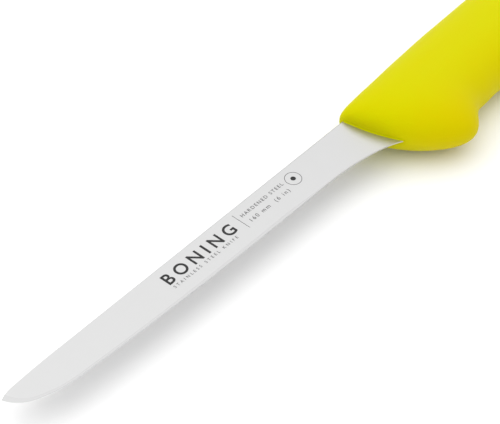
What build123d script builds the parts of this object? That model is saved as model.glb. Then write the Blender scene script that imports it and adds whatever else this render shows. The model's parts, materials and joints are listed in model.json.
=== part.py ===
"""Boning knife lying on its right side: a narrow steel blade whose tang is moulded into a two-shot handle.

Millimetres. +X runs from the butt to the tip, +Y from the spine to the cutting edge, and +Z from the side that the
knife rests on to its upper side. The origin is the bottom centre of the bounding box. Lengthwise places are
distances back from the tip or from the handle's front. Crosswise places are distances from the blade's straight
spine, towards the cutting edge.
"""

import os
from math import cos, pi, sin, sqrt
from typing import NamedTuple

from build123d import *

# ---- driving dimensions ------------------------------------------------------------------------------------------
OVERALL_LENGTH = 300.0
OVERALL_WIDTH = 41.4  # palm swell on the spine side to the foot of the guard
OVERALL_THICKNESS = 22.4  # between the flat lands on the handle's two sides
SPINE_SWELL = 5.9  # how far the handle stands out past the blade's spine

BLADE_LENGTH = 160.0  # tip to the handle's front, along the spine
HEEL_WIDTH = 14.6  # spine to cutting edge, before the heel flares out
TIP_DROP = 1.45  # the tip lies this far below the straight spine
EDGE_LENGTH = 136.0  # from the tip to the start of the flare, where the bevel has run out
BEVEL_NARROWS = 116.0  # from the tip, where the bevel starts to run out towards the heel
BEVEL_RUN_OUT = 1.0  # how far the bevel's line has left the edge by then, so that nothing more is ground off
EDGE_HALF_ANGLE = 20.0  # each side of the cutting edge's bevel, from the blade's middle plane

STOCK_THICKNESS = 2.2  # steel strip that the blade and the tang are cut from
GRIND_HALF_AT_TIP = 0.74  # half the thickness at the spine, by the tip
GRIND_GAIN_ALONG = 0.0020  # growth of half the thickness from the tip to the heel, as a slope
GRIND_FALL_ACROSS = 0.045  # fall of half the thickness from the spine to the edge, as a slope
GRIND_END = 165.0  # from the tip, where the flat grind starts to run out, at the handle
RUN_OUT_LENGTH = 10.0
RUN_OUT_RADIUS = 50.0

TANG_FRONT = 171.0  # from the tip
TANG_REAR = 262.0
TANG_STEP = 3.8  # the tang's spine side lies this far inside the spine line at its front
TANG_FRONT_WIDTH = 13.6
TANG_REAR_STEP = 5.8
TANG_REAR_WIDTH = 9.0
TANG_HOLES = (184.0, 208.0, 232.0, 250.0)  # from the tip; the core is moulded through them
TANG_HOLE_ACROSS = 10.3
TANG_HOLE_RADIUS = 2.8

SHOT_WALL = 3.2  # thickness of the outer shot over the core
CORE_FRONT = 12.0  # from the handle's front
CORE_REAR = 130.0
KEY_GROOVE_BACKS = (36.0, 62.0, 80.0, 98.0)  # stations of the core with a groove that keys the outer shot
KEY_GROOVE_WIDTH = 3.6
KEY_GROOVE_DEPTH = 1.4

CLEAR = 30.0  # how far cutting shapes reach past what they cut

# ---- places worked out from them ---------------------------------------------------------------------------------
TIP_X = OVERALL_LENGTH / 2
FRONT_X = TIP_X - BLADE_LENGTH
SPINE_Y = SPINE_SWELL - OVERALL_WIDTH / 2
MID_Z = OVERALL_THICKNESS / 2
STOCK_HALF = STOCK_THICKNESS / 2
GRIND_HALF_AT_END = GRIND_HALF_AT_TIP + GRIND_END * GRIND_GAIN_ALONG
RUN_OUT_RISE = RUN_OUT_RADIUS - sqrt(RUN_OUT_RADIUS**2 - RUN_OUT_LENGTH**2)


class Station(NamedTuple):
    """One cross-section of the handle."""

    back: float  # distance behind the handle's front
    spine_side: float  # outer edge on the spine side, from the spine line
    edge_side: float  # outer edge on the cutting-edge side, from the spine line
    half: float  # half thickness at the crest
    lean: float  # rearward lean of the section towards the cutting edge, as a slope
    crest: float  # where the section is thickest, as a share of its width from the spine side


STATIONS = (
    Station(0.0, 1.6, 7.6, 0.6, 0.20, 0.50),  # nose
    Station(0.5, -1.6, 12.4, 4.0, 0.20, 0.50),
    Station(1.2, -2.1, 16.2, 5.2, 0.20, 0.47),
    Station(2.5, -2.4, 20.8, 6.5, 0.20, 0.43),
    Station(5.0, -2.5, 26.0, 8.0, 0.20, 0.40),
    Station(8.5, -2.5, 30.6, 9.3, 0.20, 0.38),
    Station(13.0, -2.6, 34.2, 10.3, 0.19, 0.37),
    Station(18.0, -2.8, 35.5, 10.9, 0.17, 0.37),  # foot of the guard
    Station(23.0, -3.1, 34.3, 11.2, 0.14, 0.38),
    Station(29.0, -3.5, 30.8, 11.35, 0.10, 0.42),
    Station(36.0, -4.0, 28.1, 11.3, 0.05, 0.46),
    Station(46.0, -4.7, 27.3, 11.1, 0.0, 0.48),  # finger groove
    Station(62.0, -5.4, 28.4, 10.9, 0.0, 0.49),
    Station(80.0, -5.9, 30.2, 10.9, 0.0, 0.50),  # palm swell
    Station(98.0, -5.2, 30.0, 11.1, 0.0, 0.50),
    Station(111.0, -3.9, 29.8, 11.4, -0.02, 0.49),
    Station(121.0, -2.3, 31.6, 11.4, -0.04, 0.47),
    Station(128.0, -0.7, 33.6, 11.0, -0.06, 0.45),  # butt hook
    Station(133.5, 1.3, 34.0, 10.1, -0.06, 0.44),
    Station(137.2, 3.9, 32.2, 8.4, -0.06, 0.44),
    Station(139.4, 7.2, 28.8, 6.1, -0.06, 0.45),
    Station(140.5, 10.4, 24.8, 3.6, -0.06, 0.46),
    Station(140.8, 14.0, 20.5, 1.2, -0.06, 0.50),  # butt
)
SPINE_FULLNESS = 2.6  # superellipse exponents of a section, towards the spine and towards the cutting edge
EDGE_FULLNESS = 2.0
SECTION_POINTS = 32


# ---- helpers -----------------------------------------------------------------------------------------------------
def knife_point(back: float, across: float) -> tuple[float, float]:
    """A point in plan, from its distance behind the tip and its distance from the spine line."""
    return TIP_X - back, SPINE_Y + across


def section_plane(station: Station) -> Plane:
    """The plane of a handle section: its x runs from the spine line towards the cutting edge, its y upwards."""
    return Plane(
        origin=(FRONT_X - station.back, SPINE_Y, MID_Z),
        x_dir=(-station.lean, 1, 0),
        z_dir=(1, station.lean, 0),
    )


def section_points(station: Station, inset: float) -> list[tuple[float, float]]:
    """Points round an egg-shaped section, which is fuller on the spine side than on the edge side."""
    stretch = sqrt(1 + station.lean**2)
    spine_side = station.spine_side + inset
    edge_side = station.edge_side - inset
    crest = spine_side + (edge_side - spine_side) * station.crest
    points = []
    for step in range(SECTION_POINTS):
        angle = 2 * pi * step / SECTION_POINTS
        towards_edge = cos(angle) > 0
        reach = (edge_side if towards_edge else spine_side) - crest
        power = 2 / (EDGE_FULLNESS if towards_edge else SPINE_FULLNESS)
        across = reach * abs(cos(angle)) ** power
        up = (station.half - inset) * abs(sin(angle)) ** power
        points.append(((crest + across) * stretch, up if angle < pi else -up))
    return points


def section_outline(station: Station, inset: float = 0.0) -> Edge:
    """The closed curve round a handle section, for a sketch on its plane."""
    return Edge.make_spline([Vector(*point) for point in section_points(station, inset)], periodic=True)


# ---- outlines of the blade in plan -------------------------------------------------------------------------------
BLADE_TIP = knife_point(0.0, TIP_DROP)
EDGE_END = knife_point(EDGE_LENGTH, HEEL_WIDTH)
SPINE_END = knife_point(TANG_FRONT - TANG_STEP, 0.0)


def draw_cutting_edge(heel_back: float = EDGE_LENGTH) -> None:
    """Straight from the heel, then three tangent arcs round the belly to the tip."""
    straight = Line(knife_point(heel_back, HEEL_WIDTH), knife_point(110.0, HEEL_WIDTH))
    shallow = TangentArc(straight @ 1, knife_point(22.0, 12.3), tangent=straight % 1)
    belly = TangentArc(shallow @ 1, knife_point(7.1, 9.05), tangent=shallow % 1)
    TangentArc(belly @ 1, BLADE_TIP, tangent=belly % 1)


def draw_spine() -> None:
    """Straight from the handle, then two tangent arcs where the spine drops to the tip."""
    straight = Line(SPINE_END, knife_point(26.0, 0.0))
    shallow = TangentArc(straight @ 1, knife_point(6.0, 0.45), tangent=straight % 1)
    TangentArc(shallow @ 1, BLADE_TIP, tangent=shallow % 1)


def draw_tang_and_flare() -> None:
    """The hidden tang, and the concave flare that leads from the cutting edge to it."""
    shoulder = TangentArc(SPINE_END, knife_point(TANG_FRONT, TANG_STEP), tangent=(-1, 0))
    flare = TangentArc(EDGE_END, knife_point(158.0, 17.1), tangent=(-1, 0))
    heel = TangentArc(flare @ 1, knife_point(169.5, 22.4), tangent=flare % 1)
    Polyline(
        shoulder @ 1,
        knife_point(TANG_REAR, TANG_REAR_STEP),
        knife_point(TANG_REAR, TANG_REAR_STEP + TANG_REAR_WIDTH),
        knife_point(TANG_FRONT + TANG_STEP, TANG_STEP + TANG_FRONT_WIDTH),
        heel @ 1,
    )


# ---- bevel: what is ground off below the middle plane, out from the cutting edge ---------------------------------
with BuildPart() as bevel_waste:
    with BuildSketch(Plane.XY.offset(MID_Z)):
        with Locations(knife_point(EDGE_LENGTH - OVERALL_LENGTH / 2, 0.0)):
            Rectangle(OVERALL_LENGTH, 2 * CLEAR)
    extrude(amount=-STOCK_HALF)
    with BuildSketch(Plane.XY.offset(MID_Z)):
        with BuildLine():
            draw_cutting_edge(BEVEL_NARROWS)
            Polyline(
                BLADE_TIP,
                knife_point(-BLADE_LENGTH / 25, -CLEAR),
                knife_point(OVERALL_LENGTH, -CLEAR),
                knife_point(OVERALL_LENGTH, HEEL_WIDTH + BEVEL_RUN_OUT),
                knife_point(EDGE_LENGTH, HEEL_WIDTH + BEVEL_RUN_OUT),
                knife_point(BEVEL_NARROWS, HEEL_WIDTH),
            )
        make_face()
    extrude(amount=-STOCK_HALF, taper=90 - EDGE_HALF_ANGLE, mode=Mode.SUBTRACT)

# ---- blade and tang: the lower half is cut from flat stock, flat ground and bevelled, then mirrored --------------
ground_towards = Vector(0, -1, -GRIND_FALL_ACROSS)
grind_plane = Plane(
    origin=Vector(TIP_X, SPINE_Y, MID_Z) - ground_towards * 2 * CLEAR,
    x_dir=(-1, 0, 0),
    z_dir=ground_towards,
)

with BuildPart() as blade:
    with BuildSketch(Plane.XY.offset(MID_Z)):
        with BuildLine():
            draw_cutting_edge()
            draw_spine()
            draw_tang_and_flare()
        make_face()
        with Locations(*[knife_point(back, TANG_HOLE_ACROSS) for back in TANG_HOLES]):
            Circle(TANG_HOLE_RADIUS, mode=Mode.SUBTRACT)
    extrude(amount=-STOCK_HALF)
    with BuildSketch(grind_plane):
        with BuildLine():
            flat = Line((-CLEAR, GRIND_HALF_AT_TIP - CLEAR * GRIND_GAIN_ALONG), (GRIND_END, GRIND_HALF_AT_END))
            run_out_end = (GRIND_END + RUN_OUT_LENGTH, GRIND_HALF_AT_END + RUN_OUT_RISE)
            TangentArc(flat @ 1, run_out_end, tangent=flat % 1)
            Polyline(run_out_end, (GRIND_END + RUN_OUT_LENGTH, CLEAR), (-CLEAR, CLEAR), flat @ 0)
        make_face()
    extrude(amount=3 * CLEAR, mode=Mode.SUBTRACT)
    add(bevel_waste.part, mode=Mode.SUBTRACT)
    mirror(about=Plane.XY.offset(MID_Z))

# ---- core: the first shot, moulded through the tang's holes, with grooves round it -------------------------------
with BuildPart() as handle_core:
    for station in STATIONS:
        if CORE_FRONT <= station.back <= CORE_REAR:
            with BuildSketch(section_plane(station)):
                make_face(section_outline(station, SHOT_WALL))
    loft()
    for station in STATIONS:
        if station.back in KEY_GROOVE_BACKS:
            with BuildSketch(section_plane(station)):
                Rectangle(4 * CLEAR, 4 * CLEAR)
                make_face(section_outline(station, SHOT_WALL + KEY_GROOVE_DEPTH), mode=Mode.SUBTRACT)
            extrude(amount=KEY_GROOVE_WIDTH / 2, both=True, mode=Mode.SUBTRACT)
    add(blade.part, mode=Mode.SUBTRACT)

# ---- cover: the second shot, round the core and the heel of the blade, with a flat land on each side -------------
with BuildPart() as grip_cover:
    for station in STATIONS:
        with BuildSketch(section_plane(station)):
            make_face(section_outline(station))
    loft()
    with BuildSketch(Plane.XY):
        Rectangle(2 * OVERALL_LENGTH, 4 * CLEAR)
    extrude(amount=OVERALL_THICKNESS, mode=Mode.INTERSECT)
    add(handle_core.part, mode=Mode.SUBTRACT)
    add(blade.part, mode=Mode.SUBTRACT)

# ---- labels and files --------------------------------------------------------------------------------------------
blade.part.label = "blade"
handle_core.part.label = "handle_core"
grip_cover.part.label = "grip_cover"

os.makedirs("parts", exist_ok=True)
export_step(blade.part, "parts/blade.step")
export_step(handle_core.part, "parts/handle_core.step")
export_step(grip_cover.part, "parts/grip_cover.step")
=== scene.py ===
"""Looks of a boning knife with a moulded handle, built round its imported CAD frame.

The knife lies on its right side. +X runs from the butt to the tip, +Y from the spine to the cutting edge
and +Z upwards. Lengths in the code are in metres. Places on the knife are given as a distance back from the
tip and a distance across from the spine, and both start from the CAD blade's box.
"""

import json
import logging
import math
from dataclasses import dataclass
from enum import Enum

import bmesh
import bpy
from mathutils import Matrix, Vector
from mathutils.bvhtree import BVHTree

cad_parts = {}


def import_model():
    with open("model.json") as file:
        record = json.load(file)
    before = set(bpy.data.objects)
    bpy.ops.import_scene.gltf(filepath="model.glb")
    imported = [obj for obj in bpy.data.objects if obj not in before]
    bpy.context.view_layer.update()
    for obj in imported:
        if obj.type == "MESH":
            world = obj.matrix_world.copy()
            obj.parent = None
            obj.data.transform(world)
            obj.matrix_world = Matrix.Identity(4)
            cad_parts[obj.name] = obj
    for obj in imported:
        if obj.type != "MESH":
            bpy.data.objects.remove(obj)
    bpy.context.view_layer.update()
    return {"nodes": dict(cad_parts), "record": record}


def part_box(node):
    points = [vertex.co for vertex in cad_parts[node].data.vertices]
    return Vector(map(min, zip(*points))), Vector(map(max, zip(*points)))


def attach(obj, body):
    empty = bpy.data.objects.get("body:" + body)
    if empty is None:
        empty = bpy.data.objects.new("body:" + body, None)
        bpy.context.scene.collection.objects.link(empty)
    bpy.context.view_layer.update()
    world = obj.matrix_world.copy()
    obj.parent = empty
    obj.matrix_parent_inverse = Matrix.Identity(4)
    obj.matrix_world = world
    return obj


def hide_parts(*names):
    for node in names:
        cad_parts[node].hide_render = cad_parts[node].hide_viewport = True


MM = 0.001
BODY = "root"
UP = Vector((0, 0, 1))
CAD_JOIN = 0.0005 * MM  # corners of CAD triangles nearer than this are one corner
CURVE_JOIN = 0.001 * MM  # the same for a text or a curve
ON_LINE = 0.02 * MM  # a corner this near to a line or a plane counts as on it
log = logging.getLogger("boning_knife")


# ---- shared node groups --------------------------------------------------------------------------
class NodeTree:
    """A thin helper that adds and joins nodes in a material or a group."""

    def __init__(self, tree: bpy.types.NodeTree) -> None:
        """Take the node tree that is being filled."""
        self.tree = tree

    def add(self, kind: str, **settings: object) -> bpy.types.Node:
        """Add a node and set its properties.

        Args:
            kind: The node's type name.
            settings: Properties of the node, by name.

        Returns:
            The new node.
        """
        node = self.tree.nodes.new(kind)
        for name, value in settings.items():
            setattr(node, name, value)
        return node

    def join(self, source: bpy.types.NodeSocket, target: bpy.types.NodeSocket) -> None:
        """Link an output socket to an input socket."""
        self.tree.links.new(source, target)

    def math(self, operation: str, first: object, second: object) -> bpy.types.NodeSocket:
        """Add a Math node.

        Args:
            operation: The node's operation.
            first: A socket or a number.
            second: A socket or a number.

        Returns:
            The node's output.
        """
        node = self.add("ShaderNodeMath", operation=operation)
        for slot, value in zip(node.inputs, (first, second)):
            if isinstance(value, bpy.types.NodeSocket):
                self.join(value, slot)
            else:
                slot.default_value = value
        return node.outputs[0]


def group_tree(name: str, inputs: dict[str, float], outputs: tuple[str, ...]) -> NodeTree:
    """Start a shader node group with number sockets.

    Args:
        name: The group's name.
        inputs: Default values of the number inputs, by name.
        outputs: Names of the number outputs.

    Returns:
        The group, with its Group Input and Group Output nodes named "in" and "out".
    """
    tree = bpy.data.node_groups.new(name, "ShaderNodeTree")
    for label, value in inputs.items():
        socket = tree.interface.new_socket(label, in_out="INPUT", socket_type="NodeSocketFloat")
        socket.default_value = value
    for label in outputs:
        tree.interface.new_socket(label, in_out="OUTPUT", socket_type="NodeSocketFloat")
    nodes = NodeTree(tree)
    nodes.add("NodeGroupInput", name="in")
    nodes.add("NodeGroupOutput", name="out")
    return nodes


def mould_grain_group() -> bpy.types.NodeTree:
    """Fine spark-eroded grain of a moulded surface, with a slow drift of its tone and polish.

    Returns:
        The group, which puts out a height, a tone and a polish, all from 0 to 1.
    """
    rates = {"Grain per metre": 4500.0, "Drift per metre": 45.0}
    nodes = group_tree("mould_grain", rates, ("Height", "Tone", "Polish"))
    source = nodes.tree.nodes["in"]
    target = nodes.tree.nodes["out"]
    place = nodes.add("ShaderNodeTexCoord")
    grain = nodes.add("ShaderNodeTexNoise", noise_dimensions="3D")
    grain.inputs["Detail"].default_value = 3.0
    grain.inputs["Roughness"].default_value = 0.6
    drift = nodes.add("ShaderNodeTexNoise", noise_dimensions="3D")
    drift.inputs["Detail"].default_value = 2.0
    for noise, rate in ((grain, "Grain per metre"), (drift, "Drift per metre")):
        nodes.join(place.outputs["Object"], noise.inputs["Vector"])
        nodes.join(source.outputs[rate], noise.inputs["Scale"])
    nodes.join(grain.outputs["Fac"], target.inputs["Height"])
    nodes.join(drift.outputs["Fac"], target.inputs["Tone"])
    nodes.join(nodes.math("MULTIPLY", grain.outputs["Fac"], drift.outputs["Fac"]), target.inputs["Polish"])
    return nodes.tree


def grinding_group() -> bpy.types.NodeTree:
    """Fine parallel lines that a grinding belt leaves across the steel, in two widths.

    Returns:
        The group, which puts out a height and a shine, both from 0 to 1.
    """
    rates = {"Lines per metre": 6000.0, "Length per metre": 70.0}
    coarse_share = 0.18
    nodes = group_tree("grinding_lines", rates, ("Height", "Shine"))
    source = nodes.tree.nodes["in"]
    target = nodes.tree.nodes["out"]
    place = nodes.add("ShaderNodeTexCoord")
    split = nodes.add("ShaderNodeSeparateXYZ")
    nodes.join(place.outputs["Object"], split.inputs[0])
    noises = []
    for share in (1.0, coarse_share):
        fine = nodes.math("MULTIPLY", split.outputs["X"], source.outputs["Lines per metre"])
        line_count = nodes.math("MULTIPLY", fine, share)
        line_length = nodes.math("MULTIPLY", split.outputs["Y"], source.outputs["Length per metre"])
        joined = nodes.add("ShaderNodeCombineXYZ")
        nodes.join(line_count, joined.inputs["X"])
        nodes.join(line_length, joined.inputs["Y"])
        noise = nodes.add("ShaderNodeTexNoise", noise_dimensions="2D")
        noise.inputs["Scale"].default_value = 1.0
        noise.inputs["Detail"].default_value = 2.0
        nodes.join(joined.outputs[0], noise.inputs["Vector"])
        noises.append(noise.outputs["Fac"])
    nodes.join(noises[0], target.inputs["Height"])
    nodes.join(nodes.math("MULTIPLY", nodes.math("ADD", noises[0], noises[1]), 0.5), target.inputs["Shine"])
    return nodes.tree


# ---- finishes ------------------------------------------------------------------------------------
@dataclass(frozen=True)
class MouldedPlastic:
    """Matte injection-moulded plastic.

    Attributes:
        name: The material's name.
        colour: Its colour towards the spine, linear.
        painted_shade_colour: Its colour towards the cutting edge, linear: a more orange painted shade for the
            faces that turn away from the light there.
        painted_shade_from: Where the painted shade starts to show, along Y.
        painted_shade_to: Where it is fully there, along Y.
        painted_shade_share: How much of the painted shade comes from the place along Y.
        drift_share: How much of the shift towards that colour comes from the slow, random drift of the tone.
        roughness: Roughness where the grain's polish is 1, and where it is 0.
        grain_strength: How strongly the grain shows.
        grain_depth: Depth of the grain.
        gloss: How much of the light it mirrors.
        glow: Share of the light that scatters under the surface.
        glow_reach: How far red light scatters under the surface.
        glow_spread: How far red, green and blue light scatter, as shares of that reach.
    """

    name: str
    colour: tuple[float, float, float]
    # Painted shade: the second colour is a more orange yellow laid on towards the cutting edge, where the
    # faces turn away from the light.
    painted_shade_colour: tuple[float, float, float]
    painted_shade_from: float = -5.0 * MM
    painted_shade_to: float = 20.0 * MM
    painted_shade_share: float = 0.8
    drift_share: float = 0.3
    roughness: tuple[float, float] = (0.50, 0.62)
    grain_strength: float = 0.5
    grain_depth: float = 0.012 * MM
    gloss: float = 0.15
    glow: float = 0.25
    glow_reach: float = 2.5 * MM
    glow_spread: tuple[float, float, float] = (1.0, 0.45, 0.05)

    def material(self, grain: bpy.types.NodeTree) -> bpy.types.Material:
        """Make the material.

        Args:
            grain: The shared moulding grain.

        Returns:
            The new material.
        """
        material = bpy.data.materials.new(self.name)
        material.use_nodes = True
        nodes = NodeTree(material.node_tree)
        shader = material.node_tree.nodes["Principled BSDF"]
        surface = nodes.add("ShaderNodeGroup", node_tree=grain)
        tone = nodes.add("ShaderNodeMix", data_type="RGBA")
        tone.inputs["A"].default_value = (*self.colour, 1.0)
        tone.inputs["B"].default_value = (*self.painted_shade_colour, 1.0)
        place = nodes.add("ShaderNodeTexCoord")
        split = nodes.add("ShaderNodeSeparateXYZ")
        nodes.join(place.outputs["Object"], split.inputs[0])
        # Painted shade: the colour slides along Y towards the more orange second colour near the cutting
        # edge, in place of the shade on faces turned away from the light. The drift adds random tone on top.
        depth = nodes.add("ShaderNodeMapRange", interpolation_type="SMOOTHSTEP")
        depth.inputs["From Min"].default_value = self.painted_shade_from
        depth.inputs["From Max"].default_value = self.painted_shade_to
        nodes.join(split.outputs["Y"], depth.inputs["Value"])
        drift = nodes.math("MULTIPLY", surface.outputs["Tone"], self.drift_share)
        painted_shade_mix = nodes.math("MULTIPLY", depth.outputs["Result"], self.painted_shade_share)
        nodes.join(nodes.math("ADD", painted_shade_mix, drift), tone.inputs["Factor"])
        nodes.join(tone.outputs["Result"], shader.inputs["Base Color"])
        polish = nodes.add("ShaderNodeMapRange")
        polish.inputs["To Min"].default_value = self.roughness[1]
        polish.inputs["To Max"].default_value = self.roughness[0]
        nodes.join(surface.outputs["Polish"], polish.inputs["Value"])
        nodes.join(polish.outputs["Result"], shader.inputs["Roughness"])
        bump = nodes.add("ShaderNodeBump")
        bump.inputs["Strength"].default_value = self.grain_strength
        bump.inputs["Distance"].default_value = self.grain_depth
        nodes.join(surface.outputs["Height"], bump.inputs["Height"])
        nodes.join(bump.outputs["Normal"], shader.inputs["Normal"])
        shader.inputs["Specular IOR Level"].default_value = self.gloss
        shader.inputs["Specular Tint"].default_value = (*self.colour, 1.0)
        shader.inputs["Subsurface Weight"].default_value = self.glow
        shader.inputs["Subsurface Radius"].default_value = self.glow_spread
        shader.inputs["Subsurface Scale"].default_value = self.glow_reach
        return material


@dataclass(frozen=True)
class SatinSteel:
    """Stainless steel with a fine ground finish.

    Attributes:
        name: The material's name.
        colour: Its colour, linear.
        roughness: Roughness where the lines' shine is 0, and where it is 1.
        line_depth: Depth of the grinding lines.
        line_strength: How strongly the lines show.
        dull_share: Brightness where the shine is 0, as a share of the colour.
    """

    name: str
    colour: tuple[float, float, float]
    roughness: tuple[float, float] = (0.30, 0.42)
    line_depth: float = 0.0015 * MM
    line_strength: float = 0.4
    dull_share: float = 0.97

    def material(self, lines: bpy.types.NodeTree) -> bpy.types.Material:
        """Make the material.

        Args:
            lines: The shared grinding lines.

        Returns:
            The new material.
        """
        material = bpy.data.materials.new(self.name)
        material.use_nodes = True
        nodes = NodeTree(material.node_tree)
        shader = material.node_tree.nodes["Principled BSDF"]
        surface = nodes.add("ShaderNodeGroup", node_tree=lines)
        shine = nodes.add("ShaderNodeMapRange")
        shine.inputs["To Min"].default_value = self.roughness[0]
        shine.inputs["To Max"].default_value = self.roughness[1]
        nodes.join(surface.outputs["Shine"], shine.inputs["Value"])
        nodes.join(shine.outputs["Result"], shader.inputs["Roughness"])
        tone = nodes.add("ShaderNodeMix", data_type="RGBA")
        tone.inputs["A"].default_value = (*(self.dull_share * part for part in self.colour), 1.0)
        tone.inputs["B"].default_value = (*self.colour, 1.0)
        nodes.join(surface.outputs["Shine"], tone.inputs["Factor"])
        nodes.join(tone.outputs["Result"], shader.inputs["Base Color"])
        bump = nodes.add("ShaderNodeBump")
        bump.inputs["Strength"].default_value = self.line_strength
        bump.inputs["Distance"].default_value = self.line_depth
        nodes.join(surface.outputs["Height"], bump.inputs["Height"])
        nodes.join(bump.outputs["Normal"], shader.inputs["Normal"])
        shader.inputs["Metallic"].default_value = 1.0
        return material


@dataclass(frozen=True)
class EtchedMark:
    """Dark electro-etched lettering on steel.

    Attributes:
        name: The material's name.
        colour: Its darkest colour, linear.
        worn_share: Brightness where the lines' shine is 1, as a multiple of the darkest colour.
        roughness: Its roughness.
        gloss: How much of the light it mirrors.
    """

    name: str
    colour: tuple[float, float, float]
    worn_share: float = 1.6
    roughness: float = 0.7
    gloss: float = 0.2

    def material(self, lines: bpy.types.NodeTree) -> bpy.types.Material:
        """Make the material.

        Args:
            lines: The shared grinding lines, which show faintly through the etching.

        Returns:
            The new material.
        """
        material = bpy.data.materials.new(self.name)
        material.use_nodes = True
        nodes = NodeTree(material.node_tree)
        shader = material.node_tree.nodes["Principled BSDF"]
        surface = nodes.add("ShaderNodeGroup", node_tree=lines)
        tone = nodes.add("ShaderNodeMix", data_type="RGBA")
        tone.inputs["A"].default_value = (*self.colour, 1.0)
        tone.inputs["B"].default_value = (*(self.worn_share * part for part in self.colour), 1.0)
        nodes.join(surface.outputs["Shine"], tone.inputs["Factor"])
        nodes.join(tone.outputs["Result"], shader.inputs["Base Color"])
        shader.inputs["Roughness"].default_value = self.roughness
        shader.inputs["Specular IOR Level"].default_value = self.gloss
        return material


# ---- pieces --------------------------------------------------------------------------------------
def new_piece(
    name: str, bm: bmesh.types.BMesh, materials: list[bpy.types.Material]
) -> bpy.types.Object:
    """Turn a bmesh into a piece of the knife.

    Args:
        name: The piece's name.
        bm: Its shape in the knife's own frame. It is freed.
        materials: Its materials, in the order of its faces' material numbers.

    Returns:
        The new object, which rides on the knife's body.
    """
    mesh = bpy.data.meshes.new(name)
    bm.to_mesh(mesh)
    bm.free()
    for material in materials:
        mesh.materials.append(material)
    piece = bpy.data.objects.new(name, mesh)
    bpy.context.scene.collection.objects.link(piece)
    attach(piece, BODY)
    log.info("%s: %d faces", name, len(mesh.polygons))
    return piece


def merged_copy(node: bpy.types.Object) -> bmesh.types.BMesh:
    """Copy a CAD node's mesh and join its loose triangles.

    Args:
        node: The CAD node.

    Returns:
        A new bmesh with shared vertices.
    """
    bm = bmesh.new()
    bm.from_mesh(node.data)
    bmesh.ops.remove_doubles(bm, verts=bm.verts, dist=CAD_JOIN)
    return bm


def evaluated_mesh(source: bpy.types.Object) -> bmesh.types.BMesh:
    """Copy the shape of a text or a curve, with its corners joined.

    Args:
        source: The text or curve object.

    Returns:
        A new bmesh.
    """
    graph = bpy.context.evaluated_depsgraph_get()
    mesh = bpy.data.meshes.new_from_object(source.evaluated_get(graph))
    bm = bmesh.new()
    bm.from_mesh(mesh)
    bpy.data.meshes.remove(mesh)
    bmesh.ops.remove_doubles(bm, verts=bm.verts, dist=CURVE_JOIN)
    return bm


@dataclass
class Blade:
    """The steel blade, with its edges broken as a polishing wheel leaves them.

    Attributes:
        node: The CAD blade.
        steel: Finish of the flanks and the spine.
        edge_steel: Finish of the sharpened bevel.
        edge_break: Width of the rounding along the spine's two corners.
        corner_angle: Least angle between the faces at such a corner.
        corner_length: Least length of such a corner, which leaves out the tip and the tang.
        bevel_lean: The bevel leans from the flat of the blade by more than this.
        bevel_lean_most: It leans by less than this, which leaves out the edges of the strip.
        sharp_angle: Faces that meet at more than this keep a crisp corner.
    """

    node: bpy.types.Object
    steel: bpy.types.Material
    edge_steel: bpy.types.Material
    edge_break: float = 0.14 * MM
    corner_angle: float = math.radians(60.0)
    corner_length: float = 20.0 * MM
    bevel_lean: float = math.radians(12.0)
    bevel_lean_most: float = math.radians(30.0)
    sharp_angle: float = math.radians(8.0)

    def build(self) -> bpy.types.Object:
        """Model the blade from the CAD blade and put it in that node's place.

        Returns:
            The finished piece.
        """
        bm = merged_copy(self.node)
        self._break_edges(bm)
        self._mark_bevel(bm)
        for face in bm.faces:
            face.smooth = True
        piece = new_piece("blade_body", bm, [self.steel, self.edge_steel])
        piece.data.set_sharp_from_angle(angle=self.sharp_angle)
        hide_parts("blade")
        return piece

    def _break_edges(self, bm: bmesh.types.BMesh) -> None:
        """Round the two long corners of the straight spine, in front of the handle."""
        straight = min(vert.co.y for vert in bm.verts)
        corners = [
            edge
            for edge in bm.edges
            if len(edge.link_faces) == 2
            and edge.calc_face_angle() > self.corner_angle
            and max(vert.co.y for vert in edge.verts) < straight + ON_LINE
            and edge.calc_length() > self.corner_length
        ]
        bmesh.ops.bevel(
            bm,
            geom=corners,
            offset=self.edge_break,
            offset_type="OFFSET",
            segments=3,
            profile=0.5,
            affect="EDGES",
            clamp_overlap=True,
            material=-1,
        )

    def _mark_bevel(self, bm: bmesh.types.BMesh) -> None:
        """Give the sharpened bevel's faces their own finish."""
        bm.normal_update()
        for face in bm.faces:
            lean = face.normal.angle(Vector((0, 0, math.copysign(1.0, face.normal.z))))
            towards_edge = face.normal.y > 0 or face.normal.x > 0
            if self.bevel_lean < lean < self.bevel_lean_most and towards_edge:
                face.material_index = 1


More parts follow.
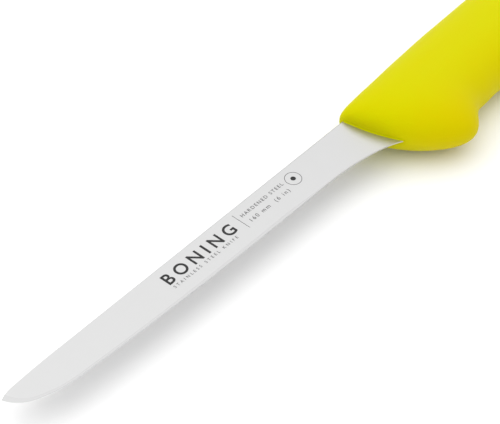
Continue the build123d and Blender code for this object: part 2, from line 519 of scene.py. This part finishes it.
@dataclass
class Grip:
    """The handle's outer shot: one smooth skin with the mould's parting line round it.

    Attributes:
        node: The CAD grip.
        plastic: Its finish.
        spine_line: Where the blade's spine lies, along Y.
        blade: The CAD blade.
        flank_point: A point on the blade's upper flank.
        flank_normal: That flank's outward normal.
        bead_radius: Radius of the roll of plastic round the blade's foot.
        foot_reach: The blade's foot lies within this distance of the handle's front.
        probe_above: How far above the foot a probe for the blade starts.
        probe_reach: How far down it looks.
        meridians: Number of faces round the handle.
        rings: Number of faces along it.
        front_share: Share of the rings that close the front.
        rear_share: Share of the rings that close the rear.
        front_centre_back: Front end of the middle line, from the handle's front.
        rear_centre_back: Rear end of the middle line, from the butt.
        centre_across: Place of the middle line, from the spine.
        ray_start: How far out the search for the CAD skin starts.
        crease_angle: Faces of the CAD grip that meet at less than this belong to the same skin.
        line_width: Width of each side of the parting line.
        line_height: How far its middle stands out.
        line_room: Least width of the faces beside it, as a multiple of line_width.
        seam_room: An edge of the skin lies on the parting plane if it is nearer to it than this.
        blended_end: Length of the butt that is blended.
        blend_rounds: How many times it is blended.
    """

    node: bpy.types.Object
    plastic: bpy.types.Material
    spine_line: float
    blade: bpy.types.Object
    flank_point: Vector
    flank_normal: Vector
    bead_radius: float = 0.3 * MM
    foot_reach: float = 25.0 * MM
    probe_above: float = 1.0 * MM
    probe_reach: float = 1.2 * MM
    meridians: int = 200
    rings: int = 170
    front_share: float = 0.34
    rear_share: float = 0.28
    front_centre_back: float = 13.5 * MM
    rear_centre_back: float = 13.0 * MM
    centre_across: float = 13.0 * MM
    ray_start: float = 60.0 * MM
    crease_angle: float = math.radians(50.0)
    line_width: float = 0.2 * MM
    line_height: float = 0.05 * MM
    line_room: float = 2.5
    seam_room: float = 0.001 * MM
    blended_end: float = 3.0 * MM
    blend_rounds: int = 60

    def build(self) -> bpy.types.Object:
        """Model the grip and put it in the CAD grip's place.

        Returns:
            The finished piece.
        """
        skin = self._outer_skin()
        bm = bmesh.new()
        bmesh.ops.create_uvsphere(bm, u_segments=self.meridians, v_segments=self.rings, radius=1.0)
        bmesh.ops.rotate(bm, verts=bm.verts, cent=(0, 0, 0), matrix=Matrix.Rotation(math.radians(90), 3, "Y"))
        low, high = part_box("grip_cover")
        middle = (low.z + high.z) / 2
        front = Vector((high.x - self.front_centre_back, self.spine_line + self.centre_across, middle))
        rear = Vector((low.x + self.rear_centre_back, front.y, middle))
        for vert in bm.verts:
            origin, outwards = self._ray(vert.co, front, rear)
            vert.co = skin.ray_cast(origin + outwards * self.ray_start, -outwards)[0]
        bmesh.ops.recalc_face_normals(bm, faces=bm.faces)
        self._round_end(bm, low.x)
        self._parting_line(bm, middle)
        for face in bm.faces:
            face.smooth = True
        foot = self._foot_points(bm)
        piece = new_piece("grip_skin", bm, [self.plastic])
        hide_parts("grip_cover")
        self._bead("grip_bead_upper", foot)
        self._bead("grip_bead_lower", [Vector((point.x, point.y, 2 * middle - point.z)) for point in foot])
        return piece

    def _foot_points(self, skin: bmesh.types.BMesh) -> list[Vector]:
        """Where the skin meets the blade's upper flank, from the spine to the flare's corner.

        Args:
            skin: The grip's skin.

        Returns:
            Points of the line, in order.
        """
        steel = merged_copy(self.blade)
        tree = BVHTree.FromBMesh(steel)
        steel.free()
        bm = skin.copy()
        cut = bmesh.ops.bisect_plane(
            bm,
            geom=bm.verts[:] + bm.edges[:] + bm.faces[:],
            plane_co=self.flank_point,
            plane_no=self.flank_normal,
        )
        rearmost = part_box("grip_cover")[1].x - self.foot_reach
        points = [item.co.copy() for item in cut["geom_cut"] if isinstance(item, bmesh.types.BMVert)]
        bm.free()
        over_blade = [
            point
            for point in points
            if point.x > rearmost and tree.ray_cast(point + self.probe_above * UP, -UP, self.probe_reach)[0]
        ]
        return sorted(over_blade, key=lambda point: point.y)

    def _bead(self, name: str, points: list[Vector]) -> bpy.types.Object:
        """A thin roll of plastic that seals the grip's foot against the blade.

        Args:
            name: The piece's name.
            points: The line that it follows.

        Returns:
            The finished piece.
        """
        curve = bpy.data.curves.new(name, "CURVE")
        curve.dimensions = "3D"
        curve.bevel_depth = self.bead_radius
        curve.bevel_resolution = 3
        curve.use_fill_caps = True
        line = curve.splines.new("POLY")
        line.points.add(len(points) - 1)
        for target, point in zip(line.points, points):
            target.co = (*point, 1.0)
        bender = bpy.data.objects.new(name + "_line", curve)
        bpy.context.scene.collection.objects.link(bender)
        bm = evaluated_mesh(bender)
        bpy.data.objects.remove(bender)
        for face in bm.faces:
            face.smooth = True
        return new_piece(name, bm, [self.plastic])

    def _round_end(self, bm: bmesh.types.BMesh, end: float) -> None:
        """Blend the small flat at the butt into the curves round it.

        Args:
            bm: The grip.
            end: The butt's place along X.
        """
        flat = [vert for vert in bm.verts if vert.co.x < end + self.blended_end]
        for _ in range(self.blend_rounds):
            bmesh.ops.smooth_vert(
                bm, verts=flat, factor=0.5, use_axis_x=True, use_axis_y=True, use_axis_z=True
            )

    def _ray(self, direction: Vector, front: Vector, rear: Vector) -> tuple[Vector, Vector]:
        """Where a point of the unit sphere looks out from the handle's middle line.

        Args:
            direction: The point on the unit sphere, whose poles are on X.
            front: The middle line's front end.
            rear: Its rear end.

        Returns:
            A point on the middle line, and a unit vector outwards.
        """
        turn = math.acos(max(-1.0, min(1.0, direction.x))) / math.pi
        radial = Vector((0, direction.y, direction.z))
        if radial.length > 1e-9:
            radial.normalize()
        if turn < self.front_share:
            tilt = turn / self.front_share * math.pi / 2
            return front, (Vector((math.cos(tilt), 0, 0)) + radial * math.sin(tilt)).normalized()
        if turn > 1 - self.rear_share:
            tilt = (1 - turn) / self.rear_share * math.pi / 2
            return rear, (Vector((-math.cos(tilt), 0, 0)) + radial * math.sin(tilt)).normalized()
        along = (turn - self.front_share) / (1 - self.front_share - self.rear_share)
        return front.lerp(rear, along), radial

    def _outer_skin(self) -> BVHTree:
        """Take the CAD grip's outer surface and close it over the slot that the blade stands in.

        Returns:
            That surface, ready to be searched.
        """
        bm = merged_copy(self.node)
        start = max(bm.faces, key=lambda face: face.calc_center_median().y)
        reached = {start}
        waiting = [start]
        while waiting:
            face = waiting.pop()
            for edge in face.edges:
                if len(edge.link_faces) != 2 or edge.calc_face_angle() > self.crease_angle:
                    continue
                for neighbour in edge.link_faces:
                    if neighbour not in reached:
                        reached.add(neighbour)
                        waiting.append(neighbour)
        bmesh.ops.delete(bm, geom=[face for face in bm.faces if face not in reached], context="FACES")
        bmesh.ops.holes_fill(bm, edges=[edge for edge in bm.edges if edge.is_boundary], sides=0)
        bmesh.ops.triangulate(bm, faces=bm.faces)
        tree = BVHTree.FromBMesh(bm)
        bm.free()
        return tree

    def _parting_line(self, bm: bmesh.types.BMesh, middle: float) -> None:
        """Raise a fine line where the mould's two halves meet, wherever the faces beside it are wide enough.

        Args:
            bm: The grip.
            middle: Height of the parting plane.
        """
        room = self.line_room * self.line_width
        seam = [
            edge
            for edge in bm.edges
            if all(abs(vert.co.z - middle) < self.seam_room for vert in edge.verts)
            and all(face.calc_area() > room * edge.calc_length() for face in edge.link_faces)
        ]
        made = bmesh.ops.bevel(
            bm,
            geom=seam,
            offset=self.line_width,
            offset_type="OFFSET",
            segments=2,
            profile=0.5,
            affect="EDGES",
            material=-1,
        )
        bm.normal_update()
        for vert in made["verts"]:
            if abs(vert.co.z - middle) < ON_LINE:
                vert.co += vert.normal * self.line_height


class MarkWeight(Enum):
    """How heavy a line of lettering is, as the growth of its strokes."""

    BOLD = 0.12 * MM
    FINE = 0.0


@dataclass(frozen=True)
class MarkLine:
    """One line of generic lettering on the blade.

    Attributes:
        name: The piece's name.
        text: What it says.
        back: Where it starts, from the tip.
        across: Where its letters' tops are, from the spine.
        length: Its whole length.
        height: Height of its capitals.
        weight: How heavy its strokes are.
    """

    name: str
    text: str
    back: float
    across: float
    length: float
    height: float
    weight: MarkWeight


@dataclass
class Markings:
    """Etched lettering on the blade's upper flank: plain words, a divider and a plain ring.

    Attributes:
        tip: The blade's tip, along X.
        spine_line: The blade's spine, along Y.
        flank_point: A point on the flank.
        flank_normal: The flank's outward normal.
        ink: Finish of the lettering.
        depth: Thickness of the etched layer.
        divider_width: Width of the divider.
        ring_width: Width of the ring's line.
        dot_radius: Radius of the dot in the ring.
    """

    tip: float
    spine_line: float
    flank_point: Vector
    flank_normal: Vector
    ink: bpy.types.Material
    depth: float = 0.012 * MM
    divider_width: float = 0.16 * MM
    ring_width: float = 0.17 * MM
    dot_radius: float = 0.9 * MM

    def build(self) -> list[bpy.types.Object]:
        """Make every marking.

        Returns:
            The finished pieces.
        """
        bold, fine = MarkWeight.BOLD, MarkWeight.FINE
        lines = (
            MarkLine("mark_word", "BONING", 67.7 * MM, 2.9 * MM, 31.9 * MM, 4.3 * MM, bold),
            MarkLine("mark_kind", "STAINLESS STEEL KNIFE", 67.9 * MM, 8.4 * MM, 29.4 * MM, 1.1 * MM, fine),
            MarkLine("mark_steel", "HARDENED STEEL", 104.8 * MM, 3.4 * MM, 19.9 * MM, 1.3 * MM, fine),
            MarkLine("mark_size", "160 mm  (6 in)", 105.5 * MM, 6.6 * MM, 18.5 * MM, 1.5 * MM, fine),
        )
        pieces = [self._line(line) for line in lines]
        pieces.append(self._divider(back=103.0 * MM, across=1.75 * MM, length=7.5 * MM))
        pieces.append(self._ring(back=128.8 * MM, across=5.15 * MM, radius=2.87 * MM))
        return pieces

    def _placed(self, back: float, across: float) -> Matrix:
        """The turn and shift that lay a flat mark on the flank.

        Args:
            back: Distance of the mark's own zero from the tip.
            across: Its distance from the spine.

        Returns:
            A matrix whose x runs towards the butt, y towards the spine and z out of the flank.
        """
        normal = self.flank_normal.normalized()
        to_butt = Vector((-1, 0, 0))
        right = (to_butt - normal * normal.dot(to_butt)).normalized()
        up = normal.cross(right)
        place = Vector((self.tip - back, self.spine_line + across, 0))
        offset = self.flank_point - place
        place.z = self.flank_point.z + (normal.x * offset.x + normal.y * offset.y) / normal.z
        turn = Matrix((right, up, normal)).transposed().to_4x4()
        return Matrix.Translation(place) @ turn

    def _line(self, line: MarkLine) -> bpy.types.Object:
        """Set one line of lettering.

        Args:
            line: What to set, and where.

        Returns:
            The finished piece.
        """
        curve = bpy.data.curves.new(line.name, "FONT")
        curve.resolution_u = 6
        setter = bpy.data.objects.new(line.name + "_text", curve)
        bpy.context.scene.collection.objects.link(setter)
        curve.body = "H"
        curve.size = 1.0
        curve.size = line.height / self._span(setter).y
        curve.body = line.text
        curve.extrude = self.depth / 2
        curve.offset = line.weight.value
        spans = []
        for spacing in (1.0, 1.5):
            curve.space_character = spacing
            spans.append(self._span(setter).x)
        curve.space_character = 1.0 + 0.5 * (line.length - spans[0]) / (spans[1] - spans[0])
        bpy.context.view_layer.update()
        bm = evaluated_mesh(setter)
        bpy.data.objects.remove(setter)
        lowest = min(vert.co.x for vert in bm.verts)
        highest = max(vert.co.y for vert in bm.verts)
        bmesh.ops.translate(bm, verts=bm.verts, vec=(-lowest, -highest, self.depth / 2))
        bmesh.ops.transform(bm, verts=bm.verts, matrix=self._placed(line.back, line.across))
        return new_piece(line.name, bm, [self.ink])

    def _span(self, setter: bpy.types.Object) -> Vector:
        """How long and how high a text object's letters are.

        Args:
            setter: The text object.

        Returns:
            Its length and height, as x and y.
        """
        bpy.context.view_layer.update()
        bm = evaluated_mesh(setter)
        along = [vert.co.x for vert in bm.verts]
        high = [vert.co.y for vert in bm.verts]
        bm.free()
        return Vector((max(along) - min(along), max(high) - min(high), 0.0))

    def _divider(self, back: float, across: float, length: float) -> bpy.types.Object:
        """Make a thin bar across the blade.

        Args:
            back: Its distance from the tip.
            across: Distance of its end nearest the spine from the spine.
            length: Its length.

        Returns:
            The finished piece.
        """
        bm = bmesh.new()
        bmesh.ops.create_cube(bm, size=1.0)
        bmesh.ops.scale(bm, verts=bm.verts, vec=(self.divider_width, length, self.depth))
        bmesh.ops.translate(bm, verts=bm.verts, vec=(0, -length / 2, self.depth / 2))
        bmesh.ops.transform(bm, verts=bm.verts, matrix=self._placed(back, across))
        return new_piece("mark_divider", bm, [self.ink])

    def _ring(self, back: float, across: float, radius: float) -> bpy.types.Object:
        """Make a plain ring with a dot in it.

        Args:
            back: Distance of its centre from the tip.
            across: Distance of its centre from the spine.
            radius: Its outer radius.

        Returns:
            The finished piece.
        """
        bm = bmesh.new()
        bmesh.ops.create_circle(bm, segments=64, radius=radius)
        made = bmesh.ops.extrude_edge_only(bm, edges=bm.edges[:])
        inner = [item for item in made["geom"] if isinstance(item, bmesh.types.BMVert)]
        inner_share = (radius - self.ring_width) / radius
        bmesh.ops.scale(bm, verts=inner, vec=(inner_share, inner_share, 1.0))
        bmesh.ops.create_circle(bm, cap_ends=True, segments=32, radius=self.dot_radius)
        raised = bmesh.ops.extrude_face_region(bm, geom=bm.faces[:])
        tops = [item for item in raised["geom"] if isinstance(item, bmesh.types.BMVert)]
        bmesh.ops.translate(bm, verts=tops, vec=(0, 0, self.depth))
        bmesh.ops.recalc_face_normals(bm, faces=bm.faces)
        bmesh.ops.transform(bm, verts=bm.verts, matrix=self._placed(back, across))
        return new_piece("mark_ring", bm, [self.ink])


@dataclass
class HandleCore:
    """The handle's hidden first shot, which keeps its CAD mesh.

    Attributes:
        node: The CAD core.
        plastic: Its finish.
    """

    node: bpy.types.Object
    plastic: bpy.types.Material

    def dress(self) -> None:
        """Give the core its own finish."""
        self.node.data.materials.clear()
        self.node.data.materials.append(self.plastic)
        log.info("%s: %d faces", self.node.name, len(self.node.data.polygons))


# ---- studio --------------------------------------------------------------------------------------
@dataclass
class Studio:
    """A plain pale floor, soft light and the camera.

    Attributes:
        aim: The point that the camera looks at.
        azimuth: Level direction from that point to the camera.
        elevation: Angle of the camera above the floor.
        distance: From that point to the camera.
        lens: Focal length, in the lens's own millimetres.
        sensor: Sensor width, in the same unit.
        floor_size: Side of the floor.
        floor_grey: Lightness of the floor, linear.
        sky_strength: Strength of the white surround.
        sun_spread: Angle that the soft light fills.
        sun_strength: Strength of the soft light.
        sun_behind: How far the soft light lies behind overhead, as a slope.
        sun_left: How far it lies to the left, as a slope.
    """

    aim: Vector
    azimuth: Vector = Vector((0.75801, 0.65224, 0.0))
    elevation: float = math.radians(43.5)
    distance: float = 0.9
    lens: float = 206.3
    sensor: float = 36.0
    floor_size: float = 6.0
    floor_grey: float = 0.93
    sky_strength: float = 0.72
    sun_spread: float = math.radians(104.0)
    sun_strength: float = 1.85
    sun_behind: float = 0.04
    sun_left: float = 0.1

    def build(self) -> None:
        """Set up the floor, the lights, the sky and the camera."""
        self._floor()
        self._sky()
        self._lights()
        self._camera()
        scene = bpy.context.scene
        scene.view_settings.view_transform = "Standard"
        scene.view_settings.look = "None"

    def _floor(self) -> None:
        """A matte white table top."""
        bm = bmesh.new()
        bmesh.ops.create_grid(bm, x_segments=1, y_segments=1, size=self.floor_size / 2)
        mesh = bpy.data.meshes.new("floor")
        bm.to_mesh(mesh)
        bm.free()
        material = bpy.data.materials.new("floor_white")
        material.use_nodes = True
        shader = material.node_tree.nodes["Principled BSDF"]
        shader.inputs["Base Color"].default_value = (*[self.floor_grey] * 3, 1.0)
        shader.inputs["Roughness"].default_value = 0.9
        shader.inputs["Specular IOR Level"].default_value = 0.0
        mesh.materials.append(material)
        floor = bpy.data.objects.new("floor", mesh)
        bpy.context.scene.collection.objects.link(floor)

    def _sky(self) -> None:
        """An even white surround."""
        world = bpy.data.worlds.new("studio")
        world.use_nodes = True
        background = world.node_tree.nodes["Background"]
        background.inputs["Color"].default_value = (1.0, 1.0, 1.0, 1.0)
        background.inputs["Strength"].default_value = self.sky_strength
        bpy.context.scene.world = world

    def _lights(self) -> None:
        """One very soft light, a little behind overhead."""
        right = Vector((-self.azimuth.y, self.azimuth.x, 0.0))
        lamp = bpy.data.lights.new("soft_light", "SUN")
        lamp.angle = self.sun_spread
        lamp.energy = self.sun_strength
        light = bpy.data.objects.new("soft_light", lamp)
        towards = UP - self.azimuth * self.sun_behind - right * self.sun_left
        light.rotation_euler = towards.to_track_quat("Z", "Y").to_euler()
        bpy.context.scene.collection.objects.link(light)

    def _camera(self) -> None:
        """The camera, level and aimed at the blade."""
        lens = bpy.data.cameras.new("camera")
        lens.lens = self.lens
        lens.sensor_width = self.sensor
        lens.clip_start = 0.01
        camera = bpy.data.objects.new("camera", lens)
        towards = self.azimuth * math.cos(self.elevation) + UP * math.sin(self.elevation)
        camera.location = self.aim + towards * self.distance
        camera.rotation_euler = (-towards).to_track_quat("-Z", "Y").to_euler()
        bpy.context.scene.collection.objects.link(camera)
        bpy.context.scene.camera = camera


def main() -> None:
    """Load the frame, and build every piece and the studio."""
    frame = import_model()
    grain = mould_grain_group()
    lines = grinding_group()
    # The second yellow is a painted shade, more orange, laid on towards the cutting edge.
    plastic = MouldedPlastic("yellow_plastic", (0.580, 0.565, 0.0005), (0.605, 0.500, 0.0005)).material(grain)
    core_finish = MouldedPlastic("core_plastic", (0.60, 0.58, 0.52), (0.56, 0.54, 0.48), glow=0.0)
    steel = SatinSteel("satin_steel", (0.53, 0.53, 0.53)).material(lines)
    edge_finish = SatinSteel("edge_steel", (0.485, 0.485, 0.485), roughness=(0.34, 0.40), line_depth=0.0)
    ink = EtchedMark("etched_mark", (0.025, 0.025, 0.025)).material(lines)

    blade_low, blade_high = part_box("blade")
    flank = next(mount for mount in frame["record"]["mounts"] if mount["name"] == "blade_flank")
    tip = blade_high.x
    spine_line = blade_low.y

    blade = frame["nodes"]["blade"]
    Blade(blade, steel, edge_finish.material(lines)).build()
    HandleCore(frame["nodes"]["handle_core"], core_finish.material(grain)).dress()
    flank_point = Vector(flank["pos_m"])
    flank_normal = Vector(flank["axis"])
    Grip(frame["nodes"]["grip_cover"], plastic, spine_line, blade, flank_point, flank_normal).build()
    Markings(tip, spine_line, flank_point, flank_normal, ink).build()
    aim_back = 108.13 * MM
    aim_across = 4.835 * MM
    aim_under = 0.36 * MM
    Studio(Vector((tip - aim_back, spine_line + aim_across, blade_high.z - aim_under))).build()


if __name__ == "__main__":
    logging.basicConfig(level=logging.INFO, format="%(name)s: %(message)s")
    main()
